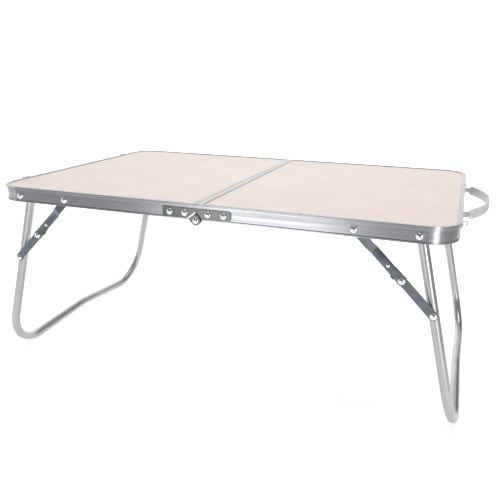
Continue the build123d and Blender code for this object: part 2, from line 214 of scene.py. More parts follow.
def zincPlate(name, look):
    bench = Bench(name)
    place = bench.place()
    grain = bench.noise(1.0, bench.stretch((1600.0, 400.0, 1600.0), place), 3.0, 0.65)
    cloud = bench.noise(120.0, place, 3.0, 0.55)
    mixed = grain * 0.45 + cloud * 0.55
    colour = bench.blend(bench.spread(mixed, 0.0, 1.0, 0.35, 0.68), look["colour"], look["paler"])
    rough = bench.spread(mixed, *look["roughness"], 0.3, 0.7)
    normal = bench.bump(grain, 0.00003, 0.5)
    return bench.finish(Base_Color=colour, Metallic=1.0, Roughness=rough, Normal=normal)


brightLook = {
    "colour": (0.66, 0.67, 0.68),
    "paler": (0.80, 0.81, 0.82),
    "roughness": (0.07, 0.2),
}


def brightPlate(name, look):
    bench = Bench(name)
    place = bench.place()
    cloud = bench.noise(400.0, place, 3.0, 0.6)
    fine = bench.noise(2600.0, place, 1.0)
    colour = bench.blend(cloud, look["colour"], look["paler"])
    rough = bench.spread(cloud, *look["roughness"], 0.3, 0.75)
    normal = bench.bump(fine, 0.000006, 0.3)
    return bench.finish(Base_Color=colour, Metallic=1.0, Roughness=rough, Normal=normal)


laminateLook = {
    "colour": (0.645, 0.571, 0.517),
    "paler": (0.680, 0.608, 0.558),
    "speck": (0.555, 0.482, 0.424),
    "roughness": (0.40, 0.52),
    "shine": 0.28,
}


def creamLaminate(name, look):
    # pressed paper laminate with a faint crossed weave
    bench = Bench(name)
    place = bench.place()
    warp = bench.noise(1.0, bench.stretch((1500.0, 60.0, 1.0), place), 2.0, 0.6)
    weft = bench.noise(1.0, bench.stretch((60.0, 1500.0, 1.0), place), 2.0, 0.6)
    cloud = bench.noise(22.0, place, 3.0, 0.6)
    weave = warp * 0.5 + weft * 0.5
    ground = bench.blend(bench.spread(cloud, 0.0, 1.0, 0.35, 0.65), look["colour"], look["paler"])
    threads = bench.spread(weave, 0.0, 0.55, 0.42, 0.72)
    colour = bench.blend(threads, ground, look["speck"])
    rough = bench.spread(weave, *look["roughness"], 0.3, 0.7)
    normal = bench.bump(weave, 0.00004, 0.4)
    shine = look["shine"]
    return bench.finish(Base_Color=colour, Roughness=rough, Normal=normal, Specular_IOR_Level=shine)


boardLook = {
    "tones": [(0.3, (0.30, 0.25, 0.20)), (0.5, (0.42, 0.36, 0.30)), (0.72, (0.52, 0.46, 0.39))],
    "roughness": (0.62, 0.85),
}


def pressedBoard(name, look):
    # the bare underside: fine brown fibreboard
    bench = Bench(name)
    place = bench.place()
    fibre = bench.noise(1.0, bench.stretch((340.0, 900.0, 900.0), place), 5.0, 0.7)
    cloud = bench.noise(14.0, place, 3.0)
    mixed = fibre * 0.7 + cloud * 0.3
    colour = bench.ramp(mixed, look["tones"])
    rough = bench.spread(mixed, *look["roughness"], 0.3, 0.7)
    normal = bench.bump(fibre, 0.00012, 0.5)
    return bench.finish(Base_Color=colour, Roughness=rough, Normal=normal)


lacquerLook = {
    "colour": (0.66, 0.66, 0.665),
    "paler": (0.76, 0.76, 0.76),
    "metallic": 0.35,
    "roughness": (0.5, 0.36),
}


def silverLacquer(name, look):
    # silver coating with a fine fleck
    bench = Bench(name)
    place = bench.place()
    fleck = bench.noise(2200.0, place, 2.0, 0.6)
    cloud = bench.noise(60.0, place, 3.0, 0.55)
    mixed = fleck * 0.5 + cloud * 0.5
    colour = bench.blend(bench.spread(mixed, 0.0, 1.0, 0.35, 0.65), look["colour"], look["paler"])
    rough = bench.spread(mixed, *look["roughness"], 0.3, 0.7)
    normal = bench.bump(fleck, 0.00002, 0.4)
    metallic = look["metallic"]
    return bench.finish(Base_Color=colour, Metallic=metallic, Roughness=rough, Normal=normal)


edgingLook = dict(drawnLook, colour=(0.305, 0.294, 0.282), paler=(0.365, 0.353, 0.340))
lipLook = dict(drawnLook, colour=(0.28, 0.271, 0.26), paler=(0.35, 0.34, 0.327))
hingeLook = dict(zincLook, colour=(0.085, 0.092, 0.09), paler=(0.155, 0.165, 0.16))
claspLook = dict(zincLook, colour=(0.74, 0.77, 0.78), paler=(0.88, 0.90, 0.91))

railFinish = drawnAluminium("drawnRail", drawnLook)
edgingFinish = drawnAluminium("drawnEdging", edgingLook, False)
lipFinish = drawnAluminium("drawnLip", lipLook, False)
strapFinish = silverLacquer("silverStrap", lacquerLook)
tubeFinish = polishedTube("polishedTube", tubeLook)
zincFinish = zincPlate("zincPlate", zincLook)
hingeFinish = zincPlate("hingePlate", hingeLook)
claspFinish = zincPlate("claspPlate", claspLook)
brightFinish = brightPlate("brightPlate", brightLook)
laminateFinish = creamLaminate("creamLaminate", laminateLook)
boardFinish = pressedBoard("pressedBoard", boardLook)
print("finishes made")


# ---------- mesh helpers


def newObject(name, mesh, material):
    mesh.materials.clear()
    mesh.materials.append(material)
    piece = bpy.data.objects.new(name, mesh)
    bpy.context.scene.collection.objects.link(piece)
    return piece


def smoothByAngle(mesh, degrees=35.0):
    for face in mesh.polygons:
        face.use_smooth = True
    mesh.set_sharp_from_angle(angle=math.radians(degrees))


def prism(bm, near, far):
    # caps and walls between two matching rings of vertices
    bm.faces.new(near)
    bm.faces.new(list(reversed(far)))
    for i in range(len(near)):
        j = (i + 1) % len(near)
        bm.faces.new((near[i], far[i], far[j], near[j]))


def sweepShape(name, outline, stations, material, sharpAngle=35.0):
    # outline: points (across, up). stations: (centre, across vector, up vector)
    mesh = bpy.data.meshes.new(name)
    bm = bmesh.new()
    rings = []
    for centre, across, up in stations:
        rings.append([bm.verts.new(centre + across * a + up * b) for a, b in outline])
    count = len(outline)
    for first, second in zip(rings, rings[1:]):
        for i in range(count):
            j = (i + 1) % count
            bm.faces.new((first[i], first[j], second[j], second[i]))
    bm.faces.new(rings[0])
    bm.faces.new(list(reversed(rings[-1])))
    bmesh.ops.recalc_face_normals(bm, faces=bm.faces)
    bm.to_mesh(mesh)
    bm.free()
    smoothByAngle(mesh, sharpAngle)
    return newObject(name, mesh, material)


def roundedOutline(points, radius, steps=3):
    # softens every corner of a closed outline
    result = []
    count = len(points)
    for i in range(count):
        here = Vector(points[i])
        before = Vector(points[i - 1]) - here
        after = Vector(points[(i + 1) % count]) - here
        reach = min(radius, before.length * 0.45, after.length * 0.45)
        start = here + before.normalized() * reach
        finish = here + after.normalized() * reach
        # a point just past each end of the bend keeps the flats evenly lit
        if before.length > radius * 5:
            result.append(start + before.normalized() * radius * 0.5)
        for s in range(steps + 1):
            t = s / steps
            result.append((1 - t) ** 2 * start + 2 * t * (1 - t) * here + t ** 2 * finish)
        if after.length > radius * 5:
            result.append(finish + after.normalized() * radius * 0.5)
    return [(p.x, p.y) for p in result]


def repainted(node, material):
    # a CAD part as it is, with a new finish
    nodes[node].data.materials.clear()
    nodes[node].data.materials.append(material)


def softened(node, width, material, name, body, angle=30.0):
    # a CAD part with its edges rounded off
    mesh = nodes[node].data.copy()
    bm = bmesh.new()
    bm.from_mesh(mesh)
    bmesh.ops.remove_doubles(bm, verts=bm.verts, dist=0.005 * mm)
    flat = math.radians(2.0)
    bmesh.ops.dissolve_limit(bm, angle_limit=flat, verts=bm.verts, edges=bm.edges)
    bmesh.ops.recalc_face_normals(bm, faces=bm.faces)
    bm.to_mesh(mesh)
    bm.free()
    smoothByAngle(mesh, angle)
    piece = newObject(name, mesh, material)
    bevel = piece.modifiers.new("edges", "BEVEL")
    bevel.width = width
    bevel.segments = 2
    bevel.limit_method = "ANGLE"
    bevel.angle_limit = math.radians(angle)
    bevel.harden_normals = True
    graph = bpy.context.evaluated_depsgraph_get()
    baked = bpy.data.meshes.new_from_object(piece.evaluated_get(graph))
    piece.modifiers.clear()
    piece.data = baked
    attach(piece, body)
    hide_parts(node)


bodyOf = {}
for bodyName, members in frame["record"]["behaviour"]["bodies"].items():
    for member in members:
        bodyOf[member] = bodyName


# ---------- edge rails

railSizes = {
    "length": 600 * mm,
    "width": 400 * mm,
    "top": 260 * mm,
    "cornerRadius": 37 * mm,
    "halfGap": 0.15 * mm,
    "cornerSteps": 28,
    "straightSteps": 12,
}

# inward from the outermost face, up from the table top, in millimetres
railOutline = [
    (5.4, 0.0),
    (5.4, -1.0),
    (3.4, -1.0),
    (3.4, -4.6),
    (7.0, -4.6),
    (7.0, -5.6),
    (3.4, -5.6),
    (3.4, -20.0),
    (1.2, -20.0),
    (1.2, -17.9),
    (2.2, -17.9),
    (2.2, -4.4),
    (1.2, -4.4),
    (1.2, -2.0),
    (0.0, -2.0),
    (0.0, 0.0),
]


def railStations(side):
    # front seam end, round both corners, back seam end
    sizes = railSizes
    halfLength, halfWidth = sizes["length"] / 2, sizes["width"] / 2
    radius, top = sizes["cornerRadius"], sizes["top"]
    steps, straight = sizes["cornerSteps"], sizes["straightSteps"]
    up = Vector((0, 0, 1))

    def onStraight(x, end):
        return Vector((side * x, end * halfWidth, top)), Vector((0, -end, 0)), up

    alongFront = [(halfLength - radius) * i / straight for i in range(1, straight)]
    stations = [onStraight(sizes["halfGap"], -1)]
    stations += [onStraight(x, -1) for x in alongFront]
    for corner in (-1, 1):
        middle = Vector((side * (halfLength - radius), corner * (halfWidth - radius), top))
        for i in range(steps + 1):
            turn = math.pi / 2 * i / steps
            if corner > 0:
                turn = math.pi / 2 - turn
            out = Vector((side * math.sin(turn), corner * math.cos(turn), 0))
            stations.append((middle + out * radius, -out, up))
    stations += [onStraight(x, 1) for x in reversed(alongFront)]
    stations.append(onStraight(sizes["halfGap"], 1))
    return stations


railEdge = 0.35  # rounding of the rail's edges, in millimetres
railShape = [(a * mm, b * mm) for a, b in roundedOutline(railOutline, railEdge, 2)]
for sideName, side in (("left", -1), ("right", 1)):
    rail = sweepShape(sideName + "EdgeRail", railShape, railStations(side), railFinish)
    rail.data.materials.append(lipFinish)
    # the flat lip on top is duller than the drawn sides
    for face in rail.data.polygons:
        if face.normal.z > 0.9 and face.center.z > railSizes["top"] - 0.3 * mm:
            face.material_index = 1
    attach(rail, sideName + "_half")
    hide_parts(sideName + "_rail")
print("edge rails made")


# ---------- legs

legSizes = {
    "tubeRadius": 6 * mm,
    "pivotX": 258.5 * mm,
    "pivotZ": 248.2 * mm,
    "splayDegrees": 13.7,
    "topY": 174.7 * mm,
    "footY": 182.1 * mm,
    "cornerLength": 254.1 * mm,
    "footRise": 13.9 * mm,
    "footBend": 58 * mm,
    "archBend": 120 * mm,
    "around": 40,
    "bendStepDegrees": 2.5,
    "runStep": 20 * mm,
    "lastRunSteps": 12,
    "domeSteps": 8,
}


def legCentreLine(side):
    # up one side, round the arched foot bar and up the other
    sizes = legSizes
    lean = math.radians(sizes["splayDegrees"])

    def spot(across, down):
        x = sizes["pivotX"] + down * math.sin(lean)
        return Vector((side * x, across, sizes["pivotZ"] - down * math.cos(lean)))

    corners = [
        spot(-sizes["topY"], 0),
        spot(-sizes["footY"], sizes["cornerLength"]),
        spot(0, sizes["cornerLength"] - sizes["footRise"]),
        spot(sizes["footY"], sizes["cornerLength"]),
        spot(sizes["topY"], 0),
    ]
    bends = [sizes["footBend"], sizes["archBend"], sizes["footBend"]]
    line = [corners[0]]
    for i in range(3):
        corner = corners[i + 1]
        back = (corners[i] - corner).normalized()
        ahead = (corners[i + 2] - corner).normalized()
        half = back.angle(ahead) / 2
        centre = corner + (back + ahead).normalized() * (bends[i] / math.sin(half))
        first = corner + back * (bends[i] / math.tan(half)) - centre
        last = corner + ahead * (bends[i] / math.tan(half)) - centre
        sweepAngle = first.angle(last)
        steps = max(6, int(math.degrees(sweepAngle) / sizes["bendStepDegrees"]))
        start = centre + first
        run = start - line[-1]
        pieces = max(2, int(run.length / sizes["runStep"]))
        for s in range(1, pieces):
            line.append(line[-1] + run / pieces)
        for s in range(steps + 1):
            t = s / steps
            arm = math.sin((1 - t) * sweepAngle) * first + math.sin(t * sweepAngle) * last
            line.append(centre + arm / math.sin(sweepAngle))
    run = corners[4] - line[-1]
    for s in range(1, sizes["lastRunSteps"]):
        line.append(line[-1] + run / sizes["lastRunSteps"])
    line.append(corners[4])
    planeNormal = (corners[1] - corners[0]).cross(corners[3] - corners[0]).normalized()
    return line, planeNormal


def legTube(name, side):
    line, flat = legCentreLine(side)
    radius, around, domeSteps = legSizes["tubeRadius"], legSizes["around"], legSizes["domeSteps"]
    firstAlong = (line[1] - line[0]).normalized()
    lastAlong = (line[-2] - line[-1]).normalized()
    # round ends, grown back from the pivots: (distance past the end, scale)
    dome = []
    for i in range(1, domeSteps + 1):
        turn = math.pi / 2 * i / domeSteps
        dome.append((radius * math.sin(turn), max(math.cos(turn), 0.02)))
    points = [line[0] - firstAlong * d for d, _ in reversed(dome)] + line
    points += [line[-1] - lastAlong * d for d, _ in dome]
    scales = [s for _, s in reversed(dome)] + [1.0] * len(line) + [s for _, s in dome]
    stations = []
    for i, point in enumerate(points):
        ahead = points[min(i + 1, len(points) - 1)]
        behind = points[max(i - 1, 0)]
        along = (ahead - behind).normalized()
        across = along.cross(flat).normalized()
        stations.append((point, across * scales[i], flat * scales[i]))
    turns = [2 * math.pi * i / around for i in range(around)]
    circle = [(radius * math.cos(turn), radius * math.sin(turn)) for turn in turns]
    return sweepShape(name, circle, stations, tubeFinish, sharpAngle=50.0)


for sideName, side in (("left", -1), ("right", 1)):
    leg = legTube(sideName + "LegTube", side)
    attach(leg, sideName + "_leg")
    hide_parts(sideName + "_leg")
print("legs made")


# ---------- boards keep their CAD shape, edging has its edges rounded

edgingEdge = 0.25 * mm

for sideName in ("left", "right"):
    repainted(sideName + "_laminate", laminateFinish)
    repainted(sideName + "_board", boardFinish)
    half = sideName + "_half"
    softened(sideName + "_edging", edgingEdge, edgingFinish, sideName + "Edging", half)


# ---------- plated steel parts

# word in the node's name: edge rounding and finish
steelParts = {
    "strut_upper": (0.35 * mm, zincFinish),
    "strut_lower": (0.35 * mm, zincFinish),
    "hinge_leaf": (0.25 * mm, hingeFinish),
    "handle_brackets": (0.25 * mm, claspFinish),
    "latch_hook": (0.25 * mm, claspFinish),
    "latch_catches": (0.25 * mm, railFinish),
}
for node in nodes:
    for word, (width, finish) in steelParts.items():
        if word in node:
            softened(node, width, finish, node + "_steel", bodyOf[node], angle=18.0)

brightNodes = [
    "left_leg_bushes",
    "right_leg_bushes",
    "handle_pins",
    "latch_stud_front",
    "latch_stud_rear",
    "handle_bracket_rivets",
    "latch_catch_rivets",
    "left_strut_knee_tail",
    "right_strut_knee_tail",
]
for node in brightNodes:
    repainted(node, brightFinish)

# the bright sheared edge beside each centre pivot: (across, up) and its planes, in millimetres
shearedEdge = {
    "outline": [(-11.0, 242.2), (-9.0, 242.2), (-0.2, 249.1), (-0.2, 250.5)],
    "planes": (200.3, 200.88),
}


def makeShearedEdge(name, side):
    low, high = shearedEdge["planes"]
    outline = shearedEdge["outline"]
    mesh = bpy.data.meshes.new(name)
    bm = bmesh.new()
    near = [bm.verts.new((x * mm, side * high * mm, z * mm)) for x, z in outline]
    far = [bm.verts.new((x * mm, side * low * mm, z * mm)) for x, z in outline]
    prism(bm, near, far)
    bmesh.ops.recalc_face_normals(bm, faces=bm.faces)
    bmesh.ops.bevel(bm, geom=list(bm.edges), offset=0.12 * mm, segments=2, affect="EDGES")
    bm.to_mesh(mesh)
    bm.free()
    smoothByAngle(mesh, 30.0)
    piece = newObject(name, mesh, claspFinish)
    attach(piece, "left_half")


makeShearedEdge("frontShearedEdge", -1)
makeShearedEdge("rearShearedEdge", 1)
print("steel parts made")


# ---------- geometry node helpers


class NodeTree:
    # a geometry node tree with named inputs
    def __init__(self, name):
        self.tree = bpy.data.node_groups.new(name, "GeometryNodeTree")
        for way in ("INPUT", "OUTPUT"):
            self.socket("Geometry", way, "Geometry")
        self.start = self.tree.nodes.new("NodeGroupInput")
        self.end = self.tree.nodes.new("NodeGroupOutput")

    def socket(self, name, way, kind):
        kind = "NodeSocket" + kind
        return self.tree.interface.new_socket(name=name, in_out=way, socket_type=kind)

    def input(self, name, kind, value=None):
        socket = self.socket(name, "INPUT", kind)
        if value is not None:
            socket.default_value = value
        return self.start.outputs[name]

    def make(self, kind, settings=None, values=None):
        node = self.tree.nodes.new(kind)
        for key, value in (settings or {}).items():
            setattr(node, key, value)
        for key, value in (values or {}).items():
            if isinstance(value, bpy.types.NodeSocket):
                self.tree.links.new(value, node.inputs[key])
            else:
                node.inputs[key].default_value = value
        return node

    def math(self, operation, first, second):
        values = {0: first, 1: second}
        return self.make("ShaderNodeMath", {"operation": operation}, values).outputs[0]

    def vector(self, x, y, z):
        return self.make("ShaderNodeCombineXYZ", None, {"X": x, "Y": y, "Z": z}).outputs[0]

    def finish(self, geometry, material, mergeDistance=None):
        # real geometry with its material, joined to the output
        real = self.make("GeometryNodeRealizeInstances", None, {0: geometry}).outputs[0]
        if mergeDistance is not None:
            near = {"Geometry": real, "Distance": mergeDistance}
            real = self.make("GeometryNodeMergeByDistance", None, near).outputs[0]
        values = {"Geometry": real, "Material": material}
        done = self.make("GeometryNodeSetMaterial", None, values).outputs[0]
        self.tree.links.new(done, self.end.inputs[0])

    def bake(self, name, mesh, values):
        # runs the tree on a mesh and keeps the result as a plain mesh
        carrier = bpy.data.objects.new(name, mesh)
        bpy.context.scene.collection.objects.link(carrier)
        modifier = carrier.modifiers.new(name, "NODES")
        modifier.node_group = self.tree
        items = self.tree.interface.items_tree
        sockets = {item.name: item.identifier for item in items if item.in_out == "INPUT"}
        for key, value in values.items():
            modifier[sockets[key]] = value
        graph = bpy.context.evaluated_depsgraph_get()
        baked = bpy.data.meshes.new_from_object(carrier.evaluated_get(graph))
        carrier.modifiers.clear()
        carrier.data = baked
        carrier.name = name
        return carrier


# ---------- rivets, one piece for each body

rivetInputs = {
    "Head Radius": 4.7 * mm,
    "Head Height": 3.0 * mm,
    "Shank Radius": 2.0 * mm,
    "Tail Radius": 4.2 * mm,
    "Round Steps": 32,
    "Dome Steps": 14,
}


def rivetTree():
    # dome head on the plate, shank behind it, flat tail at the far side
    tree = NodeTree("domeRivets")
    headRadius = tree.input("Head Radius", "Float", 0.004)
    headHeight = tree.input("Head Height", "Float", 0.003)
    shankRadius = tree.input("Shank Radius", "Float", 0.002)
    tailRadius = tree.input("Tail Radius", "Float", 0.004)
    roundSteps = tree.input("Round Steps", "Int", 32)
    domeSteps = tree.input("Dome Steps", "Int", 12)
    finish = tree.input("Finish", "Material")

    def field(name, kind="FLOAT"):
        values = {"Name": name}
        named = tree.make("GeometryNodeInputNamedAttribute", {"data_type": kind}, values)
        return named.outputs["Attribute"]

    def times(first, second):
        return tree.math("MULTIPLY", first, second)

    facing = field("facing", "FLOAT_VECTOR")
    turnNode = tree.make("FunctionNodeAlignRotationToVector", {"axis": "Z"}, {"Vector": facing})
    turn = turnNode.outputs[0]

    # unit dome: a ball whose lower half is pressed flat onto the plate
    ballValues = {"Segments": roundSteps, "Rings": domeSteps, "Radius": 1.0}
    ball = tree.make("GeometryNodeMeshUVSphere", None, ballValues).outputs["Mesh"]
    place = tree.make("GeometryNodeInputPosition").outputs[0]
    parts = tree.make("ShaderNodeSeparateXYZ", None, {0: place})
    lifted = tree.math("MAXIMUM", parts.outputs[2], 0.0)
    pressed = tree.vector(parts.outputs[0], parts.outputs[1], lifted)
    domeValues = {"Geometry": ball, "Position": pressed}
    dome = tree.make("GeometryNodeSetPosition", None, domeValues).outputs[0]

    rodValues = {"Vertices": roundSteps, "Radius": 1.0, "Depth": 1.0}
    rod = tree.make("GeometryNodeMeshCylinder", None, rodValues).outputs["Mesh"]

    points = tree.start.outputs["Geometry"]
    headWidth = times(headRadius, field("size"))
    headScale = tree.vector(headWidth, headWidth, times(headHeight, field("squat")))
    shankScale = tree.vector(shankRadius, shankRadius, field("reach"))
    tailWidth = times(tailRadius, field("tailSize"))
    tailScale = tree.vector(tailWidth, tailWidth, field("tailDepth"))
    joined = tree.make("GeometryNodeJoinGeometry")
    shankDrop = times(field("reach"), -0.5)
    tailDrop = tree.math("SUBTRACT", times(field("tailDepth"), -0.5), field("reach"))
    kinds = [(dome, headScale, None), (rod, shankScale, shankDrop), (rod, tailScale, tailDrop)]
    for shape, scale, drop in kinds:
        values = {"Points": points, "Instance": shape, "Rotation": turn, "Scale": scale}
        if drop is not None:
            # moved along the rivet's own axis before it is placed
            along = tree.make("ShaderNodeVectorMath", {"operation": "SCALE"}, {0: facing})
            tree.tree.links.new(drop, along.inputs["Scale"])
            shift = {"Geometry": points, "Offset": along.outputs[0]}
            values["Points"] = tree.make("GeometryNodeSetPosition", None, shift).outputs[0]
        placed = tree.make("GeometryNodeInstanceOnPoints", None, values)
        tree.tree.links.new(placed.outputs[0], joined.inputs[0])
    tree.finish(joined.outputs[0], finish, 0.002 * mm)
    return tree


# what each kind of rivet carries, in the order of its numbers
rivetFields = ("size", "squat", "reach", "tailSize", "tailDepth")
rivetKinds = {
    "legPivot": (1.0, 1.0, 29.4 * mm, 1.0, 1.5 * mm),
    "hingeLeaf": (0.936, 0.867, 2.6 * mm, 0.667, 1.0 * mm),
    "strutRail": (1.0, 1.0, 1.2 * mm, 0.95, 4.1 * mm),
    "hingePivot": (0.915, 0.8, 2.9 * mm, 0.47, 0.2 * mm),
    "knee": (0.979, 0.9, 1.4 * mm, 0.47, 0.2 * mm),
    "dimple": (0.475, 0.30, 0.5 * mm, 0.3, 0.2 * mm),
    "tube": (0.915, 0.567, 1.9 * mm, 0.857, 2.6 * mm),
}


def makeRivets(tree, name, body, rivets, replaced):
    # rivets: (place, facing, kind)
    mesh = bpy.data.meshes.new(name + "Points")
    mesh.from_pydata([place for place, _, _ in rivets], [], [])
    facings = mesh.attributes.new("facing", "FLOAT_VECTOR", "POINT")
    for i, (_, facing, _) in enumerate(rivets):
        facings.data[i].vector = facing
    for number, key in enumerate(rivetFields):
        values = mesh.attributes.new(key, "FLOAT", "POINT")
        for i, (_, _, kind) in enumerate(rivets):
            values.data[i].value = rivetKinds[kind][number]
    piece = tree.bake(name, mesh, dict(rivetInputs, Finish=brightFinish))
    attributes = piece.data.attributes
    for key in ("facing", *rivetFields):
        if key in attributes:
            attributes.remove(attributes[key])
    smoothByAngle(piece.data, 40.0)
    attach(piece, body)
    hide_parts(*replaced)


def boxMiddle(node):
    # middle of a rivet's box, across and up
    low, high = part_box(node)
    return (low[0] + high[0]) / 2, (low[2] + high[2]) / 2


rivetPlaces = {
    "webFace": 197.8 * mm,
    "leafFace": 199.2 * mm,
    "lobeFace": 200.8 * mm,
    "strutFace": 189.2 * mm,
    "lowerFace": 187.5 * mm,
    "pivotX": 258.5 * mm,
    "pivotZ": 248.2 * mm,
    "strutX": 188.5 * mm,
    "hingeNear": 15.0 * mm,
    "hingeFar": 35.1 * mm,
    "lobeZ": 240.0 * mm,
    "dimpleBack": 22.6 * mm,
}


def rivetRows():
    places = rivetPlaces
    tree = rivetTree()
    front, back = Vector((0, -1, 0)), Vector((0, 1, 0))
    pivotZ = places["pivotZ"]
    for sideName, side in (("left", -1), ("right", 1)):
        rows = []
        for out in (front, back):
            webY, leafY = out.y * places["webFace"], out.y * places["leafFace"]
            rows.append((Vector((side * places["pivotX"], webY, pivotZ)), out, "legPivot"))
            for x in (places["hingeNear"], places["hingeFar"]):
                rows.append((Vector((side * x, leafY, pivotZ)), out, "hingeLeaf"))
        strutSpot = Vector((side * places["strutX"], -places["webFace"], pivotZ))
        rows.append((strutSpot, front, "strutRail"))
        replaced = [sideName + "_leg_pivots", sideName + "_hinge_rivets"]
        replaced.append(sideName + "_strut_rail_rivet")
        if side < 0:
            for out in (front, back):
                spot = Vector((0, out.y * places["lobeFace"], places["lobeZ"]))
                rows.append((spot, out, "hingePivot"))
            replaced += ["hinge_pivot_front", "hinge_pivot_rear"]
        makeRivets(tree, sideName + "RailRivets", sideName + "_half", rows, replaced)

        kneeNode, tubeNode = sideName + "_strut_knee_rivet", sideName + "_strut_tube_rivet"
        kneeX, kneeZ = boxMiddle(kneeNode)
        knee = Vector((kneeX, -places["strutFace"], kneeZ))
        # the pressed dimple beside the knee, in bright metal as a painted glint
        toRail = Vector((strutSpot.x - kneeX, 0, pivotZ - kneeZ)).normalized()
        rows = [(knee, front, "knee"), (knee + toRail * places["dimpleBack"], front, "dimple")]
        makeRivets(tree, sideName + "KneeRivet", sideName + "_strut_upper", rows, [kneeNode])
        tubeX, tubeZ = boxMiddle(tubeNode)
        rows = [(Vector((tubeX, -places["lowerFace"], tubeZ)), front, "tube")]
        makeRivets(tree, sideName + "TubeRivet", sideName + "_leg", rows, [tubeNode])


rivetRows()
print("rivets made")


# ---------- carrying strap: an arched, ribbed flat section

strapInputs = {
    "Root X": 308.5 * mm,
    "Half Span": 79.0 * mm,
    "Tip X": 330.6 * mm,
    "Height Z": 250.0 * mm,
    "Steps": 96,
}
strapSection = {
    "height": 13.0,  # millimetres
    "thickness": 1.8,
    "edge": 0.35,
    "ribs": 4,
    "ribSteps": 12,
    "ribDepth": 0.4,
}
# the turned ends that hook onto the pins
strapEnds = {
    "pivotX": 305.0 * mm,
    "eyeRadius": 3.1 * mm,
    "eyeSteps": 24,
    "halfThickness": 0.9 * mm,
    "halfHeight": 6.2 * mm,
    "postRadius": 0.88 * mm,
    "postSteps": 20,
}


def strapProfile(section):
    # closed outline: ribs run along both faces of the strap
    halfHeight = section["height"] / 2
    halfThickness = section["thickness"] / 2
    edge, ribs, depth = section["edge"], section["ribs"], section["ribDepth"]
    steps = ribs * section["ribSteps"]
    points = []
    for face in (1, -1):
        for i in range(steps + 1):
            t = i / steps
            up = (2 * t - 1) * (halfHeight - edge) * face
            wave = 0.5 - 0.5 * math.cos(2 * math.pi * t * ribs)
            points.append((up * mm, face * (halfThickness - depth * (1 - wave)) * mm))
        points.append((face * halfHeight * mm, face * edge * mm))
        points.append((face * halfHeight * mm, -face * edge * mm))
    mesh = bpy.data.meshes.new("strapSection")
    count = len(points)
    edges = [(i, (i + 1) % count) for i in range(count)]
    mesh.from_pydata([(y, x, 0) for x, y in points], edges, [])
    return bpy.data.objects.new("strapSection", mesh)


def strapTree():
    tree = NodeTree("ribbedStrap")
    rootX = tree.input("Root X", "Float", 0.3)
    halfSpan = tree.input("Half Span", "Float", 0.08)
    tipX = tree.input("Tip X", "Float", 0.33)
    heightZ = tree.input("Height Z", "Float", 0.25)
    steps = tree.input("Steps", "Int", 64)
    section = tree.input("Section", "Object")
    finish = tree.input("Finish", "Material")

    minusSpan = tree.math("MULTIPLY", halfSpan, -1.0)
    values = {
        "Resolution": steps,
        "Start": tree.vector(rootX, minusSpan, heightZ),
        "Middle": tree.vector(tipX, 0.0, heightZ),
        "End": tree.vector(rootX, halfSpan, heightZ),
    }
    arc = tree.make("GeometryNodeCurveArc", {"mode": "POINTS"}, values).outputs["Curve"]
    upright = tree.make("GeometryNodeSetCurveNormal", {"mode": "Z_UP"}, {0: arc}).outputs[0]
    info = tree.make("GeometryNodeObjectInfo", None, {"Object": section}).outputs["Geometry"]
    outline = tree.make("GeometryNodeMeshToCurve", None, {0: info}).outputs[0]
    sweep = {"Curve": upright, "Profile Curve": outline, "Fill Caps": True}
    strap = tree.make("GeometryNodeCurveToMesh", None, sweep).outputs[0]
    tree.finish(strap, finish)
    return tree


def makeStrap():
    section = strapProfile(strapSection)
    bpy.context.scene.collection.objects.link(section)
    inputs = dict(strapInputs, Section=section, Finish=strapFinish)
    strap = strapTree().bake("handleStrap", bpy.data.meshes.new("strapStart"), inputs)
    bpy.data.objects.remove(section)
    bm = bmesh.new()
    bm.from_mesh(strap.data)
    ends = strapEnds
    rootX, middleZ = strapInputs["Root X"], strapInputs["Height Z"]
    eyeRadius, postRadius = ends["eyeRadius"], ends["postRadius"]
    halfHeight, halfThickness = ends["halfHeight"], ends["halfThickness"]
    for side in (-1, 1):
        y = side * strapInputs["Half Span"]
        # an eye round the pin, widening to the strap's height
        outline = []
        for i in range(ends["eyeSteps"] + 1):
            turn = math.pi / 2 + math.pi * i / ends["eyeSteps"]
            across, up = eyeRadius * math.cos(turn), eyeRadius * math.sin(turn)
            outline.append((ends["pivotX"] + across, middleZ + up))
        outline += [(rootX, middleZ - halfHeight), (rootX, middleZ + halfHeight)]
        near = [bm.verts.new((x, y - halfThickness, z)) for x, z in outline]
        far = [bm.verts.new((x, y + halfThickness, z)) for x, z in outline]
        prism(bm, near, far)
        # a round post where the eye meets the strap
        turns = [2 * math.pi * i / ends["postSteps"] for i in range(ends["postSteps"])]
        circle = [(rootX + postRadius * math.cos(t), y + postRadius * math.sin(t)) for t in turns]
        low = [bm.verts.new((px, py, middleZ - halfHeight)) for px, py in circle]
        high = [bm.verts.new((px, py, middleZ + halfHeight)) for px, py in circle]
        prism(bm, low, high)
    bmesh.ops.recalc_face_normals(bm, faces=bm.faces)
    bm.to_mesh(strap.data)
    bm.free()
    smoothByAngle(strap.data, 40.0)
    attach(strap, "handle")
    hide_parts("handle_strap")


makeStrap()
print("strap made")


# ---------- floor, light and camera

stageSizes = {
    "halfWidth": 6.0,
    "front": -6.0,
    "bendStart": 1.5,
    "bendRadius": 1.6,
    "bendSteps": 24,
    "wallTop": 4.0,
}


paperLook = {
    "colour": (0.80, 0.80, 0.80),
    "paler": (0.82, 0.82, 0.82),
    # painted glow, rising from front to back between the two distances
    "glowFrom": -1.2,
    "glowTo": 1.5,
    "glow": [(0.0, 0.0), (0.09, 0.02), (0.29, 0.5), (0.56, 0.72), (0.9, 1.0)],
    # the painted glow dies away to the right between these
    "fadeFrom": 0.5,
    "fadeTo": 1.1,
}


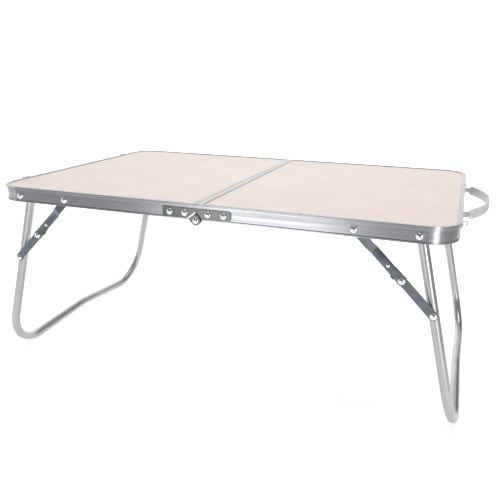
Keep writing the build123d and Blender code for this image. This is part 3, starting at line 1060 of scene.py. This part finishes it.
def paperPaintedGlowFinish(look):
    # pale paper with a painted glow of its own, not lit by a lamp, rising towards the back where it
    # turns up into the wall
    bench = Bench("palePaper")
    colour = bench.blend(bench.noise(1.2, bench.place(), 1.0), look["colour"], look["paler"])
    along = bench.spread(bench.axis(1), 0.0, 1.0, look["glowFrom"], look["glowTo"])
    fade = bench.spread(bench.axis(0), 1.0, 0.0, look["fadeFrom"], look["fadeTo"])
    glow = bench.ramp(along, [(at, (level, level, level)) for at, level in look["glow"]])
    # painted glow: the paper's own emission, faded to the right
    paintedGlow = bench.blend(fade, (0.0, 0.0, 0.0), glow)
    return bench.finish(Base_Color=colour, Roughness=0.75, Emission_Color=paintedGlow, Emission_Strength=1.0)


def paperSweep(sizes):
    # a flat floor that curves up into a wall behind: (back, up)
    start, radius, steps = sizes["bendStart"], sizes["bendRadius"], sizes["bendSteps"]
    line = [(sizes["front"], 0.0), (-2.0, 0.0), (0.0, 0.0), (start, 0.0)]
    for i in range(1, steps + 1):
        turn = math.pi / 2 * i / steps
        line.append((start + radius * math.sin(turn), radius * (1 - math.cos(turn))))
    line.append((start + radius, sizes["wallTop"]))
    mesh = bpy.data.meshes.new("paperSweep")
    half = sizes["halfWidth"]
    points = [(x, y, z) for y, z in line for x in (-half, half)]
    faces = [(2 * i, 2 * i + 1, 2 * i + 3, 2 * i + 2) for i in range(len(line) - 1)]
    mesh.from_pydata(points, [], faces)
    smoothByAngle(mesh, 40.0)
    return newObject("paperSweep", mesh, paperPaintedGlowFinish(paperLook))


paperSweep(stageSizes)

# name, place, aimed at, width, height, power
lightSizes = [
    ("overheadSoftbox", (0.05, 0.05, 1.35), (0.05, 0.05, 0.0), 1.2, 1.0, 12.0),
    ("leftSoftbox", (-1.5, -0.3, 0.75), (0.0, 0.0, 0.2), 0.5, 0.9, 0.8),
    ("rightSoftbox", (0.96, -1.02, 0.25), (0.3, -0.18, 0.24), 0.22, 0.6, 4.2),
    ("lowStrip", (-0.19, -1.0, 0.07), (0.08, -0.2, 0.25), 0.42, 0.13, 0.8),
    ("leftStrip", (-1.5, -1.0, 0.45), (0.0, -0.2, 0.2), 0.3, 1.0, 2.4),
]
for name, place, target, width, height, power in lightSizes:
    data = bpy.data.lights.new(name, "AREA")
    data.shape = "RECTANGLE"
    data.size = width
    data.size_y = height
    data.energy = power
    lamp = bpy.data.objects.new(name, data)
    lamp.location = place
    lamp.rotation_euler = (Vector(target) - Vector(place)).to_track_quat("-Z", "Y").to_euler()
    bpy.context.scene.collection.objects.link(lamp)


roomLook = {
    "front": (0.19, 0.195, 0.21),
    "sides": (0.75, 0.75, 0.75),
    "sidesFrom": 0.76,
    "sidesTo": 0.97,
    "back": (0.80, 0.80, 0.80),
    "above": (0.45, 0.45, 0.46),
    "strength": 0.8,
}


def makeRoom(look):
    # a dim room in front, paler to the sides, behind and overhead
    bench = Bench("softRoom", bpy.data.worlds)
    way = bench.make("ShaderNodeTexCoord").out("Generated")
    sides = bench.spread(bench.axis(0, way).absolute(), 0.0, 1.0, look["sidesFrom"], look["sidesTo"])
    back = bench.spread(bench.axis(1, way), 0.0, 1.0, -0.2, 0.9)
    high = bench.spread(bench.axis(2, way), 0.0, 1.0, 0.0, 1.0)
    ahead = bench.blend(sides, look["front"], look["sides"])
    around = bench.blend(back, ahead, look["back"])
    colour = bench.blend(high, around, look["above"])
    values = {"Color": colour, "Strength": look["strength"]}
    room = bench.make("ShaderNodeBackground", None, values).out()
    bench.make("ShaderNodeOutputWorld", None, {"Surface": room})
    bpy.context.scene.world = bench.material


makeRoom(roomLook)

cameraSizes = {
    "place": (0.2925, -0.8228, 0.4150),
    "headingLeft": 0.3438,
    "lookDown": 0.2985,
    "tilt": 0.0143,
    "lens": 42.49,
}


def makeCamera(sizes):
    heading, down, tilt = sizes["headingLeft"], sizes["lookDown"], sizes["tilt"]
    flat = math.cos(down)
    ahead = Vector((-math.sin(heading) * flat, math.cos(heading) * flat, -math.sin(down)))
    right = Vector((math.cos(heading), math.sin(heading), 0))
    up = right.cross(ahead)
    tilted = right * math.cos(tilt) + up * math.sin(tilt)
    upright = up * math.cos(tilt) - right * math.sin(tilt)
    turn = Matrix((tilted, upright, -ahead)).transposed()
    data = bpy.data.cameras.new("camera")
    data.lens = sizes["lens"]
    data.sensor_width = 36.0
    data.clip_start = 0.01
    camera = bpy.data.objects.new("camera", data)
    camera.matrix_world = Matrix.Translation(Vector(sizes["place"])) @ turn.to_4x4()
    bpy.context.scene.collection.objects.link(camera)
    bpy.context.scene.camera = camera


makeCamera(cameraSizes)
bpy.context.scene.view_settings.view_transform = "Standard"
print("stage made")
